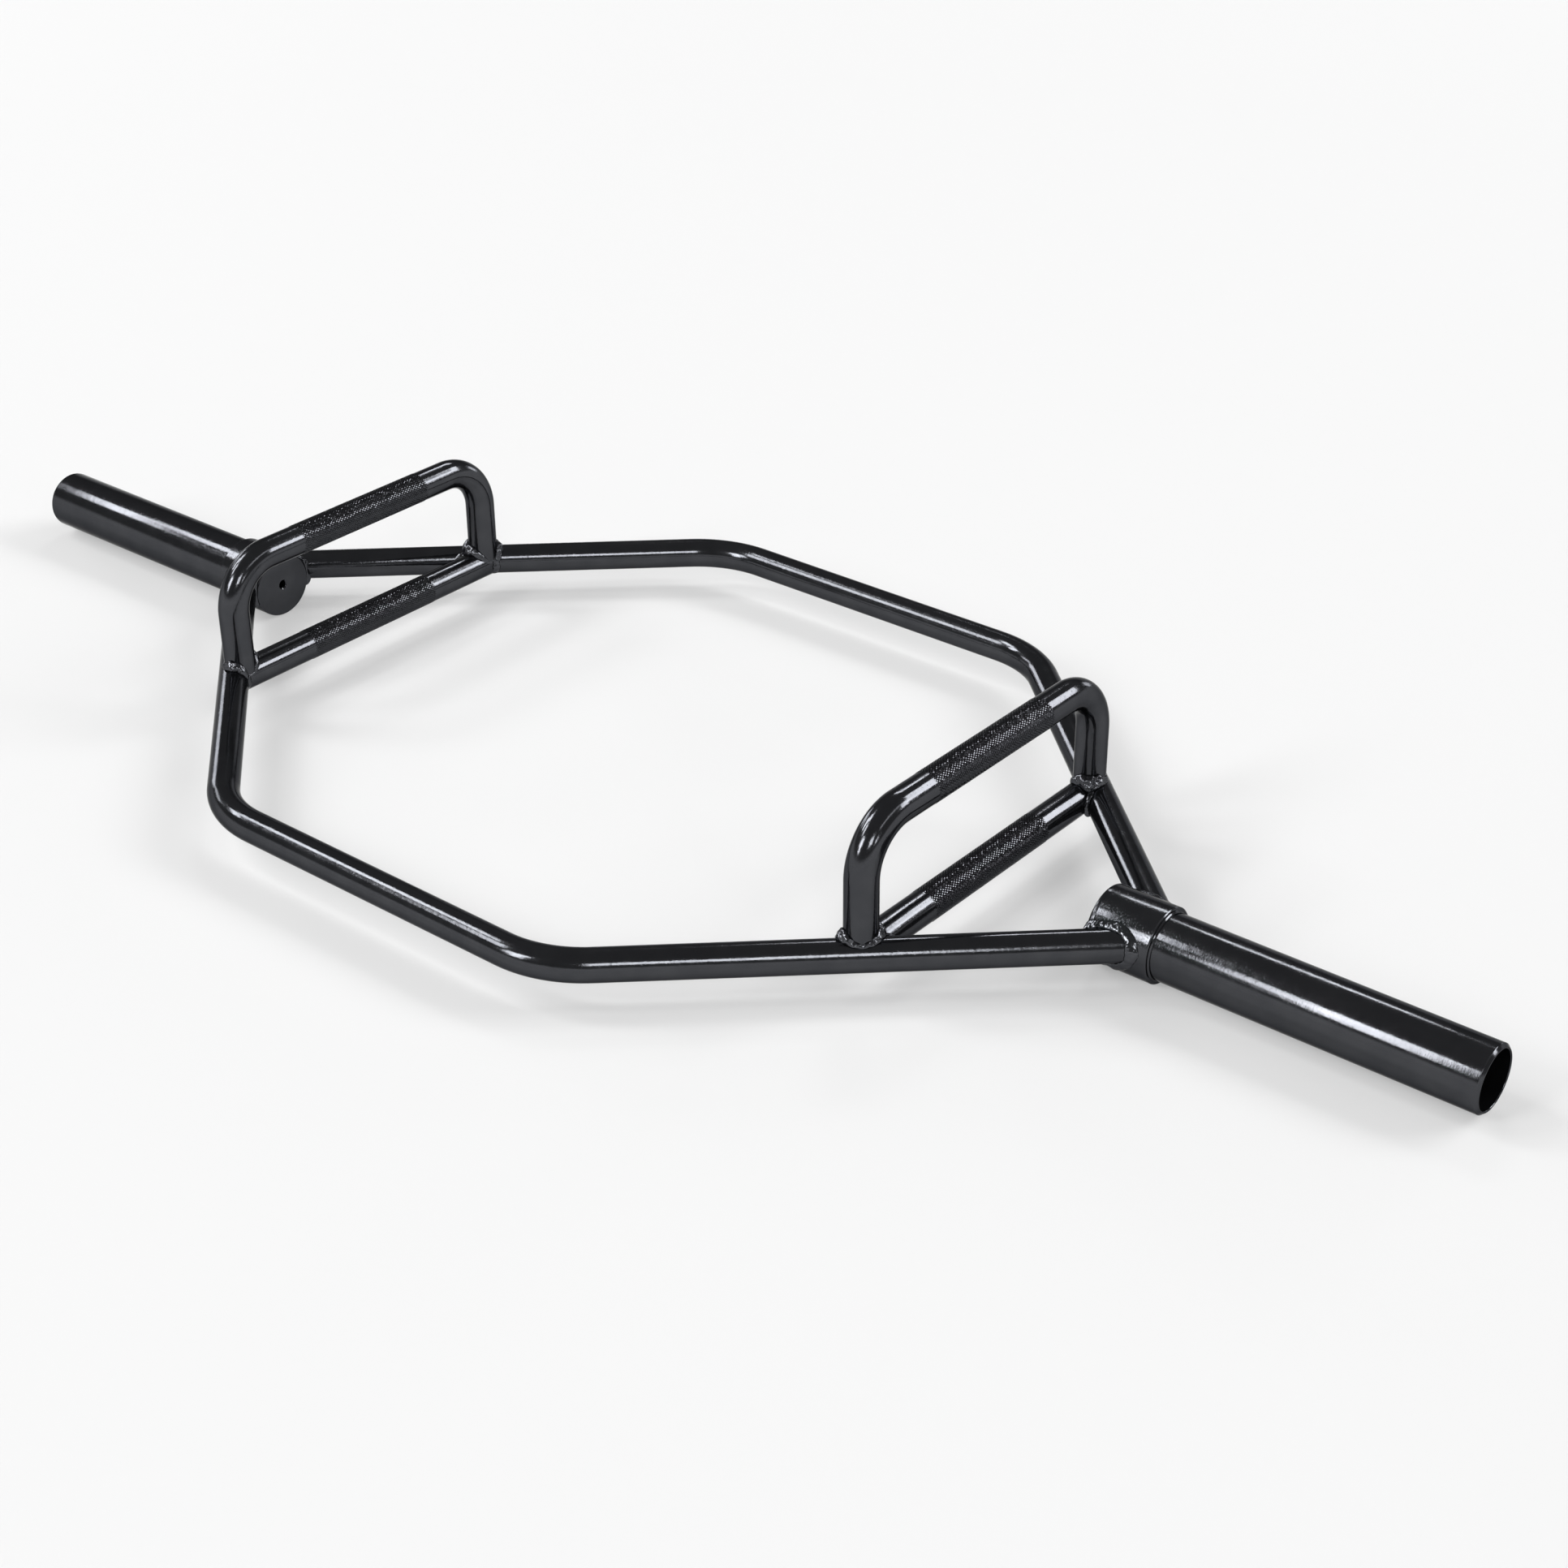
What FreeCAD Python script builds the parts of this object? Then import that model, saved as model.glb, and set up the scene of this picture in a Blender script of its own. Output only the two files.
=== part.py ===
import FreeCAD, Part
import math
import os

# Hex trap bar: a welded hexagon of bent round bar with a weight sleeve at each side.
# Millimetres. X runs along the sleeves, Y from front to rear, Z up.
# The origin lies under the middle of the bar, on the floor that the collars stand on.

# Sleeves, which carry the weight plates
sleeve_diameter = 50.0
sleeve_wall = 3.5
loadable_length = 245.0
sleeve_end_bevel = 2.2

# Collars, which the plates stop against and the rails are welded to
collar_shoulder_height = 3.5
collar_shoulder_land = 11.4
collar_edge_bevel = 0.9
collar_seat_depth = 0.5
collar_slip_clearance = 0.1

# Round plates that close the inboard ends of the collars
end_plate_spacing = 860.0
end_plate_thickness = 4.0
end_plate_edge_radius = 1.8
vent_diameter = 7.0
vent_countersink = 0.9

# Rails, the front and rear halves of the hexagon
rail_diameter = 25.0
rail_bend_radius = 90.0
frame_depth = 585.0
arm_angle = 42.8
rail_foot_margin = 1.8
rail_rise = 2.6

# Low handles in the plane of the rails, and high handles over them
handle_spacing = 643.0
handle_diameter = 25.0
handle_bend_radius = 40.0
high_handle_rise = 96.0
leg_inset = 8.3
leg_foot_height = 4.0
grip_end_margin = 30.0
grip_knurl_rise = 0.25

# Gaps left for welding: at a bar end coped to a rail or collar, and under a leg on its low handle
coping_gap = 0.1
leg_seat_gap = 0.2

# Weld beads: how far the metal stands out from the seam, and where a handle's bead starts and stops
collar_bead = 3.4
leg_bead = 3.2
handle_bead = 3.6
sleeve_bead = 1.2
outer_bead_top_angle = 30.0
inner_bead_top_angle = 0.0
handle_bead_bottom_angle = -60.0

# Radii, heights and places that follow from the driving dimensions
sleeve_radius = sleeve_diameter / 2
seat_radius = sleeve_radius - collar_seat_depth
collar_radius = sleeve_radius + collar_shoulder_height
rail_radius = rail_diameter / 2
handle_radius = handle_diameter / 2
sleeve_height = collar_radius
rail_height = sleeve_height + rail_rise
high_handle_height = rail_height + high_handle_rise

arm_slope = math.radians(arm_angle)
arm_cosine = math.cos(arm_slope)
arm_sine = math.sin(arm_slope)
arm_tangent = math.tan(arm_slope)

# The rail's slanted foot sits on the collar, which carries on past it to the shoulder
rail_foot_length = rail_diameter / arm_sine
plate_face_x = end_plate_spacing / 2
collar_start_x = plate_face_x + end_plate_thickness
rail_foot_x = plate_face_x + rail_foot_margin
collar_end_x = rail_foot_x + rail_foot_length + collar_shoulder_land
sleeve_end_x = collar_end_x + loadable_length
rail_meeting_x = rail_foot_x + rail_foot_length / 2 + collar_radius / arm_tangent

corner_y = frame_depth / 2
corner_x = rail_meeting_x - corner_y / arm_tangent

handle_x = handle_spacing / 2
handle_end_y = (rail_meeting_x - handle_x) * arm_tangent
leg_y = handle_end_y - leg_inset
grip_half_length = leg_y - handle_bend_radius - grip_end_margin

ALONG_X = FreeCAD.Vector(1, 0, 0)
ALONG_Y = FreeCAD.Vector(0, 1, 0)
UP = FreeCAD.Vector(0, 0, 1)
CENTRE = FreeCAD.Vector(0, 0, 0)
FULL_TURN = 360


def point(x, y, z):
    return FreeCAD.Vector(x, y, z)


def bent_path(corners, bend_radius):
    """Straight runs through the corner points, joined by tangent arcs."""
    edges = []
    run_start = corners[0]
    for before, corner, after in zip(corners, corners[1:], corners[2:]):
        back = (before - corner).normalize()
        ahead = (after - corner).normalize()
        half_angle = back.getAngle(ahead) / 2
        tangent_length = bend_radius / math.tan(half_angle)
        inward = (back + ahead).normalize()
        arc_start = corner + back * tangent_length
        arc_middle = corner + inward * (bend_radius / math.sin(half_angle) - bend_radius)
        arc_end = corner + ahead * tangent_length
        edges.append(Part.LineSegment(run_start, arc_start).toShape())
        edges.append(Part.Arc(arc_start, arc_middle, arc_end).toShape())
        run_start = arc_end
    edges.append(Part.LineSegment(run_start, corners[-1]).toShape())
    return Part.Wire(edges)


def bent_bar(corners, bend_radius, radius):
    """A solid round bar along the corner points."""
    path = bent_path(corners, bend_radius)
    section = Part.Wire(Part.makeCircle(radius, corners[0], corners[1] - corners[0]))
    return path.makePipeShell([section], True, False)


def straight_bar(radius, start, finish):
    return Part.makeCylinder(radius, (finish - start).Length, start, finish - start)


def sleeve_axis_bar(radius, x_from, x_to):
    """A solid round bar on the axis that both sleeves share."""
    return straight_bar(radius, point(x_from, 0, sleeve_height), point(x_to, 0, sleeve_height))


def turned(profile):
    """A solid turned about the sleeve axis, from a closed outline of (x, radius) pairs."""
    outline = [point(x, 0, sleeve_height + radius) for x, radius in profile]
    face = Part.Face(Part.makePolygon(outline + outline[:1]))
    return face.revolve(point(0, 0, sleeve_height), ALONG_X, FULL_TURN)


def on_left(shape):
    return shape.mirror(CENTRE, ALONG_X)


def on_rear(shape):
    return shape.mirror(CENTRE, ALONG_Y)


# Bars that several pieces are cut to, all with the same sizes as the pieces themselves

def front_rail_corners():
    return [
        point(-rail_meeting_x, 0, rail_height),
        point(-corner_x, -corner_y, rail_height),
        point(corner_x, -corner_y, rail_height),
        point(rail_meeting_x, 0, rail_height),
    ]


def front_rail_bar(extra_radius=0.0):
    return bent_bar(front_rail_corners(), rail_bend_radius, rail_radius + extra_radius)


def right_arm_bar(extra_radius=0.0):
    """The straight right arm of the front rail."""
    corner, meeting = front_rail_corners()[2:]
    return straight_bar(rail_radius + extra_radius, corner, meeting)


def right_low_handle_bar(extra_radius=0.0):
    start = point(handle_x, -handle_end_y, rail_height)
    finish = point(handle_x, handle_end_y, rail_height)
    return straight_bar(handle_radius + extra_radius, start, finish)


def right_front_leg_bar():
    """A bar along the right high handle's front leg, from the rail's axis to the grip's height."""
    low = point(handle_x, -leg_y, rail_height)
    high = point(handle_x, -leg_y, high_handle_height)
    return straight_bar(handle_radius, low, high)


def right_grip_bar(height):
    """The rolled zone of a right handle, a hair wider than the bare bar."""
    start = point(handle_x, -grip_half_length, height)
    finish = point(handle_x, grip_half_length, height)
    return straight_bar(handle_radius + grip_knurl_rise, start, finish)


# Sleeves, collars and end plates

def right_sleeve():
    """The plate-loading tube, whose turned-down root runs through its collar to the end plate."""
    bore_radius = sleeve_radius - sleeve_wall
    return turned([
        (collar_start_x, bore_radius),
        (collar_start_x, seat_radius),
        (collar_end_x + sleeve_bead, seat_radius),
        (collar_end_x + sleeve_bead, sleeve_radius),
        (sleeve_end_x - sleeve_end_bevel, sleeve_radius),
        (sleeve_end_x, sleeve_radius - sleeve_end_bevel),
        (sleeve_end_x, bore_radius),
    ])


def right_collar():
    """The ring over the sleeve that forms the shoulder for the plates."""
    bore_radius = seat_radius + collar_slip_clearance
    return turned([
        (collar_start_x, bore_radius),
        (collar_start_x, collar_radius),
        (collar_end_x - collar_edge_bevel, collar_radius),
        (collar_end_x, collar_radius - collar_edge_bevel),
        (collar_end_x, bore_radius),
    ])


def right_end_plate():
    """A disc with a rounded inboard edge and a countersunk vent hole."""
    disc = sleeve_axis_bar(collar_radius, plate_face_x, collar_start_x)
    middle_x = (plate_face_x + collar_start_x) / 2
    inboard_rim = [edge for edge in disc.Edges if edge.BoundBox.XMax < middle_x]
    disc = disc.makeFillet(end_plate_edge_radius, inboard_rim)
    vent_radius = vent_diameter / 2
    vent = turned([
        (plate_face_x, 0),
        (plate_face_x, vent_radius + vent_countersink),
        (plate_face_x + vent_countersink, vent_radius),
        (collar_start_x, vent_radius),
        (collar_start_x, 0),
    ])
    return disc.cut(vent)


# Rails and handles

def front_rail():
    """The front bar of the hexagon, cut to sit on both collars."""
    right_seat = sleeve_axis_bar(collar_radius + coping_gap, plate_face_x, sleeve_end_x)
    return front_rail_bar().cut(right_seat).cut(on_left(right_seat))


def right_low_handle():
    """A straight bar with a rolled grip, cut to sit on the two rails."""
    handle = right_low_handle_bar().fuse(right_grip_bar(rail_height))
    rail = front_rail_bar(coping_gap)
    return handle.cut(rail).cut(on_rear(rail))


def right_high_handle():
    """A U of round bar with a rolled grip, whose feet sit on the rails and the low handle."""
    foot_height = rail_height + leg_foot_height
    corners = [
        point(handle_x, -leg_y, foot_height),
        point(handle_x, -leg_y, high_handle_height),
        point(handle_x, leg_y, high_handle_height),
        point(handle_x, leg_y, foot_height),
    ]
    handle = bent_bar(corners, handle_bend_radius, handle_radius)
    handle = handle.fuse(right_grip_bar(high_handle_height))
    rail = front_rail_bar(coping_gap)
    return handle.cut(rail).cut(on_rear(rail)).cut(right_low_handle_bar(leg_seat_gap))


# Weld beads

def right_front_collar_weld():
    """The bead round the front rail's right foot, on the collar."""
    thick_collar = sleeve_axis_bar(collar_radius + collar_bead, plate_face_x, collar_end_x)
    bead = thick_collar.common(right_arm_bar(collar_bead))
    return bead.cut(sleeve_axis_bar(collar_radius, plate_face_x, collar_end_x)).cut(right_arm_bar())


def right_front_leg_weld():
    """The rounded bead where the high handle's front leg stands on the rail and the low handle."""
    rail_crown = point(handle_x, -leg_y, rail_height + rail_radius)
    bead = Part.makeSphere(handle_radius + leg_bead, rail_crown)
    return bead.cut(right_front_leg_bar()).cut(right_arm_bar()).cut(right_low_handle_bar())


def handle_seam(side, top_angle):
    """The line where the low handle's flank meets the front rail: side is 1 outboard, -1 inboard."""
    crown_reach = math.sqrt(max(rail_radius**2 - handle_radius**2, 0)) / arm_cosine
    flank_reach = (rail_radius + side * arm_sine * handle_radius) / arm_cosine
    middle = point(handle_x, -handle_end_y + crown_reach, rail_height)
    flank = point(handle_x + side * handle_radius, -handle_end_y + flank_reach, rail_height)
    crown = middle + UP * handle_radius
    bottom = math.radians(handle_bead_bottom_angle)
    return Part.ArcOfEllipse(Part.Ellipse(flank, crown, middle), bottom, math.radians(top_angle)).toShape()


def right_front_handle_weld(side, top_angle):
    """The bead along one flank of the low handle's front end, on the rail."""
    seam = handle_seam(side, top_angle)
    start = seam.valueAt(seam.FirstParameter)
    section = Part.Wire(Part.makeCircle(handle_bead, start, seam.tangentAt(seam.FirstParameter)))
    bead = Part.Wire([seam]).makePipeShell([section], True, False)
    return bead.cut(right_low_handle_bar()).cut(right_arm_bar())


def right_sleeve_weld():
    """The thin ring of weld between the collar's outer face and the sleeve's full diameter."""
    return turned([
        (collar_end_x, seat_radius),
        (collar_end_x, sleeve_radius + sleeve_bead),
        (collar_end_x + sleeve_bead, sleeve_radius),
        (collar_end_x + sleeve_bead, seat_radius),
    ])


def write_node(name, shape):
    """Writes one piece, which has to be a single sound solid."""
    solids = shape.removeSplitter().Solids
    if len(solids) != 1 or not solids[0].isValid():
        raise ValueError("%s came out as %d solids" % (name, len(solids)))
    solids[0].exportStep("parts/%s.step" % name)


os.makedirs("parts", exist_ok=True)

rail = front_rail()
write_node("front_rail", rail)
write_node("rear_rail", on_rear(rail))

pieces_on_each_side = {
    "sleeve": right_sleeve(),
    "collar": right_collar(),
    "end_plate": right_end_plate(),
    "low_handle": right_low_handle(),
    "high_handle": right_high_handle(),
    "sleeve_weld": right_sleeve_weld(),
}
for name, shape in pieces_on_each_side.items():
    write_node("right_" + name, shape)
    write_node("left_" + name, on_left(shape))

pieces_at_each_corner = {
    "collar_weld": right_front_collar_weld(),
    "leg_weld": right_front_leg_weld(),
    "outer_handle_weld": right_front_handle_weld(1, outer_bead_top_angle),
    "inner_handle_weld": right_front_handle_weld(-1, inner_bead_top_angle),
}
for name, shape in pieces_at_each_corner.items():
    write_node("right_front_" + name, shape)
    write_node("right_rear_" + name, on_rear(shape))
    write_node("left_front_" + name, on_left(shape))
    write_node("left_rear_" + name, on_left(on_rear(shape)))
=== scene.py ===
import math

import bpy
from mathutils import Matrix, Vector, noise


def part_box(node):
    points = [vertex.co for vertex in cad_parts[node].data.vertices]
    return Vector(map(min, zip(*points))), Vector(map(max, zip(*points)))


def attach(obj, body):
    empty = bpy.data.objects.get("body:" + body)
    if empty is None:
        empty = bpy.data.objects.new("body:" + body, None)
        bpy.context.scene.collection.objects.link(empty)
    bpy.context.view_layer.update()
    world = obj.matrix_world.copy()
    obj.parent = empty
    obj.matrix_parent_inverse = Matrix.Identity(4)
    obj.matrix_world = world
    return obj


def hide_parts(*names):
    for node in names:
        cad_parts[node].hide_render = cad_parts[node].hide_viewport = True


bl_info = {
    "name": "Hex Trap Bar",
    "version": (1, 0, 0),
    "blender": (4, 5, 0),
    "location": "View3D > Sidebar > Trap Bar",
    "description": "Builds the painted bars, sleeves and weld beads of a hexagonal lifting bar",
    "category": "Add Mesh",
}

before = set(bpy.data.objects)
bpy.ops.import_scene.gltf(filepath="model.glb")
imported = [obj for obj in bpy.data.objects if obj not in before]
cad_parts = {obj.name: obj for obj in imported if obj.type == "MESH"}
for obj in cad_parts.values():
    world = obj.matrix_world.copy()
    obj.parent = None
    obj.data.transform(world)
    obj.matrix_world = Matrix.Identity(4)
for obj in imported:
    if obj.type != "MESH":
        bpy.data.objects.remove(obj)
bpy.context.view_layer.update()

MM = 0.001
X, Y, Z = 0, 1, 2
ALONG_X = Vector((1, 0, 0))
ALONG_Y = Vector((0, 1, 0))
UP = Vector((0, 0, 1))

# Fineness of the meshes; the knurl's edges are sharp, and the 10 degree facets of the bare bar stay smooth
BAR_SEGMENTS = 36
TURNED_SEGMENTS = 160
BEND_STEP = math.radians(2.5)
EASE_STEPS = 4
RIM_STEPS = 8
BEAD_STEPS = 16
SHARP_ANGLE = math.radians(40)
KNURL_SHARP_ANGLE = math.radians(10.6)
BEAD_SHARP_ANGLE = math.radians(85)

# Painted shade and painted sheen: the paint's colour is darkened in the knurl's grooves as painted shade,
# and brightened on the welds as painted sheen so that their glints shine brighter, where the bare bar is 1
PAINTED_GROOVE_SHADE = 0.4
PAINTED_WELD_SHEEN = 1.25

# Pieces are made at the front or the right, and mirrored to the rear and the left
SIDES = {"right": 1, "left": -1}
ENDS = {"front": 1, "rear": -1}


# Sizes read from the CAD frame, in metres

def lowest(node, axis):
    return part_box(node)[0][axis]


def highest(node, axis):
    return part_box(node)[1][axis]


def middle(node, axis):
    return (lowest(node, axis) + highest(node, axis)) / 2


def half(node, axis):
    return (highest(node, axis) - lowest(node, axis)) / 2


sleeve_height = middle("right_sleeve", Z)
sleeve_radius = half("right_sleeve", Z)
sleeve_tip_x = highest("right_sleeve", X)
sleeve_weld_radius = half("right_sleeve_weld", Z)
sleeve_weld_end_x = highest("right_sleeve_weld", X)
collar_radius = half("right_collar", Z)
collar_start_x = lowest("right_collar", X)
collar_end_x = highest("right_collar", X)
plate_face_x = lowest("right_end_plate", X)
rail_radius = half("front_rail", Z)
rail_height = middle("front_rail", Z)
corner_y = -lowest("front_rail", Y) - rail_radius
grip_radius = half("right_low_handle", X)
handle_x = middle("right_low_handle", X)
high_grip_height = highest("right_high_handle", Z) - grip_radius


# What a user may change

def length(name, description, millimetres):
    return bpy.props.FloatProperty(
        name=name, description=description, default=millimetres * MM, min=0.0,
        precision=5, subtype="DISTANCE", unit="LENGTH")


def angle(name, description, degrees):
    return bpy.props.FloatProperty(
        name=name, description=description, default=math.radians(degrees), subtype="ANGLE", unit="ROTATION")


def colour(name, description, red, green, blue):
    return bpy.props.FloatVectorProperty(
        name=name, description=description, default=(red, green, blue), size=3,
        min=0.0, max=1.0, subtype="COLOR")


def share(name, description, value):
    return bpy.props.FloatProperty(
        name=name, description=description, default=value, min=0.0, max=1.0, subtype="FACTOR")


class TrapBarSizes(bpy.types.PropertyGroup):
    """Sizes that the frame's boxes do not give."""
    arm_angle: angle("Arm angle", "Slant of the rails' arms from the sleeve axis", 42.8)
    rail_foot_margin: length("Rail foot margin", "Gap from the end plate's face to a rail's foot", 1.8)
    rail_bend_radius: length("Rail bend", "Bend radius of the rails, on the bar's axis", 90)
    handle_bend_radius: length("Handle bend", "Bend radius of the high handles, on the bar's axis", 40)
    leg_inset: length("Leg inset", "How far a leg stands inside the end of its low handle", 8.3)
    leg_foot_height: length("Leg foot height", "Lowest point of a leg above the rail's axis", 4)
    grip_end_margin: length("Grip margin", "Bare bar between the bend of a high handle and its grip", 30)
    knurl_rise: length("Knurl rise", "Height of the knurl's diamonds above the bare bar", 0.25)
    knurl_pitch: length("Knurl pitch", "Length of a diamond along the bar", 3.2)
    sleeve_wall: length("Sleeve wall", "Wall thickness of the sleeves", 3.5)
    sleeve_bevel: length("Sleeve bevel", "Bevel round the sleeves' outer ends", 2.2)
    bore_bevel: length("Bore bevel", "Small bevel at the mouth of the sleeves' bore", 0.5)
    seat_depth: length("Seat depth", "How far the sleeve is turned down inside its collar", 0.5)
    collar_bevel: length("Collar bevel", "Bevel round the collars' shoulder", 0.9)
    plate_edge_radius: length("Plate edge", "Rounding of the end plates' inboard edge", 1.8)
    vent_diameter: length("Vent", "Diameter of the vent hole in each end plate", 7)
    vent_countersink: length("Vent countersink", "Bevel round the vent hole", 0.9)
    edge_softness: length("Edge softness", "Rounding that the paint gives to turned edges", 0.25)
    collar_bead: length("Collar bead", "Width of the beads round the rails' feet", 6.5)
    leg_bead: length("Leg bead", "Width of the beads round the high handles' legs", 5.5)
    handle_bead: length("Handle bead", "Width of the beads round the low handles' ends", 4.5)


class TrapBarFinish(bpy.types.PropertyGroup):
    """Colours and gloss of the paint."""
    paint_colour: colour("Paint", "Black finish of the whole bar", 0.055, 0.0568, 0.0625)
    paint_thin: colour("Thin paint", "Finish where it lies a little thinner", 0.065, 0.0668, 0.0725)
    gloss_roughness: share("Gloss", "Roughness of the finish", 0.12)
    metal_share: share("Metal share", "How far the finish reflects as dark metal does", 0.95)
    edge_tint: share("Edge tint", "Brightness of reflections near the bars' edges", 0.42)


class TrapBarStage(bpy.types.PropertyGroup):
    """Floor, lamps and camera."""
    floor_colour: colour("Floor", "Pale matt floor", 0.44, 0.44, 0.44)
    floor_glow: share("Floor glow", "White that the floor adds where a camera or reflection sees it", 0.34)
    floor_near: length("Floor near", "Distance from the bar at which the floor starts to turn white", 2000)
    floor_far: length("Floor far", "Distance from the bar at which the floor is plain white", 6000)
    lamp_brightness: bpy.props.FloatProperty(
        name="Lamp brightness", description="Brightness of the lamps' faces, where white paper is 1",
        default=11.4, min=0.0)
    lamp_distance: length("Lamp distance", "Distance of the lamps from the bar", 12000)
    ceiling: share("Ceiling", "Brightness of the dim upper part of the studio", 0.2)
    camera_azimuth: angle("Camera azimuth", "Camera's angle round the bar from the front", 39.675)
    camera_elevation: angle("Camera elevation", "Camera's angle above the floor", 30.052)
    camera_roll: angle("Camera roll", "Turn of the camera about its own axis", 0.391)
    camera_distance: length("Camera distance", "From the camera to the point it looks at", 2264.27)
    camera_target: bpy.props.FloatVectorProperty(
        name="Camera target", description="Point that the camera looks at",
        default=(0.0, 0.167142, -0.09237), size=3, subtype="TRANSLATION", unit="LENGTH")
    camera_lens: bpy.props.FloatProperty(
        name="Camera lens", description="Focal length in millimetres on a 36 mm square sensor",
        default=61.066, min=1.0)


# Lines that the bars follow

class BarLines:
    """Places that follow from the sizes, all in metres."""

    def __init__(self, sizes):
        self.cosine = math.cos(sizes.arm_angle)
        self.sine = math.sin(sizes.arm_angle)
        tangent = math.tan(sizes.arm_angle)
        foot_middle_x = plate_face_x + sizes.rail_foot_margin + rail_radius / self.sine
        self.meeting_x = foot_middle_x + collar_radius / tangent
        self.corner_x = self.meeting_x - corner_y / tangent
        self.handle_radius = grip_radius - sizes.knurl_rise
        self.handle_end_y = (self.meeting_x - handle_x) * tangent
        self.leg_y = self.handle_end_y - sizes.leg_inset
        self.leg_foot_z = rail_height + sizes.leg_foot_height
        self.grip_half = self.leg_y - sizes.handle_bend_radius - sizes.grip_end_margin
        self.arm_direction = Vector((self.cosine, self.sine, 0))
        self.arm_side = Vector((-self.sine, self.cosine, 0))

    def arm_offset(self, spot):
        """How far a spot lies to the inside of the front right arm's axis, seen from above."""
        return (spot.x - handle_x) * -self.sine + (spot.y + self.handle_end_y) * self.cosine

    def onto_collar(self, spot, direction):
        """The spot moved along its bar to the front of the collar."""
        drop = spot.z - sleeve_height
        front = -math.sqrt(max(collar_radius**2 - drop**2, 0))
        return spot + direction * ((front - spot.y) / direction.y)

    def onto_arm(self, spot):
        """The spot moved along its low handle to the inside of the front right arm."""
        drop = spot.z - rail_height
        inside = math.sqrt(max(rail_radius**2 - drop**2, 0))
        run = (inside + (spot.x - handle_x) * self.sine) / self.cosine
        return Vector((spot.x, run - self.handle_end_y, spot.z))

    def rail_top(self, spot):
        return rail_height + math.sqrt(max(rail_radius**2 - self.arm_offset(spot) ** 2, 0))

    def low_handle_top(self, spot):
        aside = spot.x - handle_x
        return rail_height + math.sqrt(max(self.handle_radius**2 - aside**2, 0))

    def onto_saddle(self, spot):
        """The spot moved down its leg to the rail or the low handle, whichever is higher."""
        height = max(self.rail_top(spot), self.leg_foot_z)
        if self.arm_offset(spot) > 0:
            height = max(height, self.low_handle_top(spot))
        return Vector((spot.x, spot.y, height))


def bent_line(corners, bend_radius):
    """(place, direction) along straight runs joined by tangent bends."""
    first_direction = (corners[1] - corners[0]).normalized()
    places = [(corners[0], first_direction)]
    for before, corner, after in zip(corners, corners[1:], corners[2:]):
        arriving = (corner - before).normalized()
        leaving = (after - corner).normalized()
        turn = arriving.angle(leaving)
        inward = (leaving - arriving).normalized()
        centre = corner + inward * (bend_radius / math.cos(turn / 2))
        axis = arriving.cross(leaving).normalized()
        start = corner - arriving * (bend_radius * math.tan(turn / 2))
        steps = math.ceil(turn / BEND_STEP)
        for step in range(steps + 1):
            swing = Matrix.Rotation(turn * step / steps, 3, axis)
            places.append((centre + swing @ (start - centre), swing @ arriving))
    places.append((corners[-1], (corners[-1] - corners[-2]).normalized()))
    return places


# Skins: vertices and faces of one piece

class Skin:
    """Vertices and faces gathered ring by ring; grooves are the faces that take the second material."""

    def __init__(self, sharp_angle=SHARP_ANGLE):
        self.spots = []
        self.faces = []
        self.grooves = range(0)
        self.sharp_angle = sharp_angle

    def ring(self, spots):
        """Adds spots and gives back their indices."""
        first = len(self.spots)
        self.spots.extend(spots)
        return list(range(first, len(self.spots)))

    def join(self, ring, next_ring):
        """A band of faces between two rings of indices."""
        count = len(ring)
        for here in range(count):
            there = (here + 1) % count
            self.faces.append((ring[here], ring[there], next_ring[there], next_ring[here]))

    def join_all(self, rings):
        for ring, next_ring in zip(rings, rings[1:]):
            self.join(ring, next_ring)

    def close(self, ring, at_start):
        """A fan over the end of a bar."""
        middle_spot = sum((self.spots[index] for index in ring), Vector()) / len(ring)
        centre = self.ring([middle_spot])[0]
        for here, there in zip(ring, ring[1:] + ring[:1]):
            self.faces.append((centre, there, here) if at_start else (centre, here, there))

    def mesh(self, name, flip_x, flip_y):
        mesh = bpy.data.meshes.new(name)
        spots = [(spot[0] * flip_x, spot[1] * flip_y, spot[2]) for spot in self.spots]
        mirrored = flip_x * flip_y < 0
        faces = [face[::-1] if mirrored else face for face in self.faces]
        mesh.from_pydata(spots, [], faces)
        for face in self.grooves:
            mesh.polygons[face].material_index = 1
        mesh.set_sharp_from_angle(angle=self.sharp_angle)
        mesh.update()
        return mesh


def show(skin, name, material, nodes, flip_x=1, flip_y=1, groove_shade_material=None):
    """Makes one piece of a skin, in place of its CAD nodes."""
    piece = bpy.data.objects.new(name, skin.mesh(name, flip_x, flip_y))
    piece.data.materials.append(material)
    if groove_shade_material:
        piece.data.materials.append(groove_shade_material)
    bpy.context.scene.collection.objects.link(piece)
    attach(piece, "root")
    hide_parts(*nodes)


def round_section(centre, direction, across, radius):
    """A ring round a bar: across is square to the bend's plane."""
    aside = across.cross(direction)
    spots = []
    for index in range(BAR_SEGMENTS):
        turn = (2 * index + 1) * math.pi / BAR_SEGMENTS
        spots.append(centre + (aside * math.cos(turn) + across * math.sin(turn)) * radius)
    return spots


def skin_bar(skin, rings):
    """Joins rings of spots into a closed bar."""
    indices = [skin.ring(ring) for ring in rings]
    skin.join_all(indices)
    skin.close(indices[0], at_start=True)
    skin.close(indices[-1], at_start=False)


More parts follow.
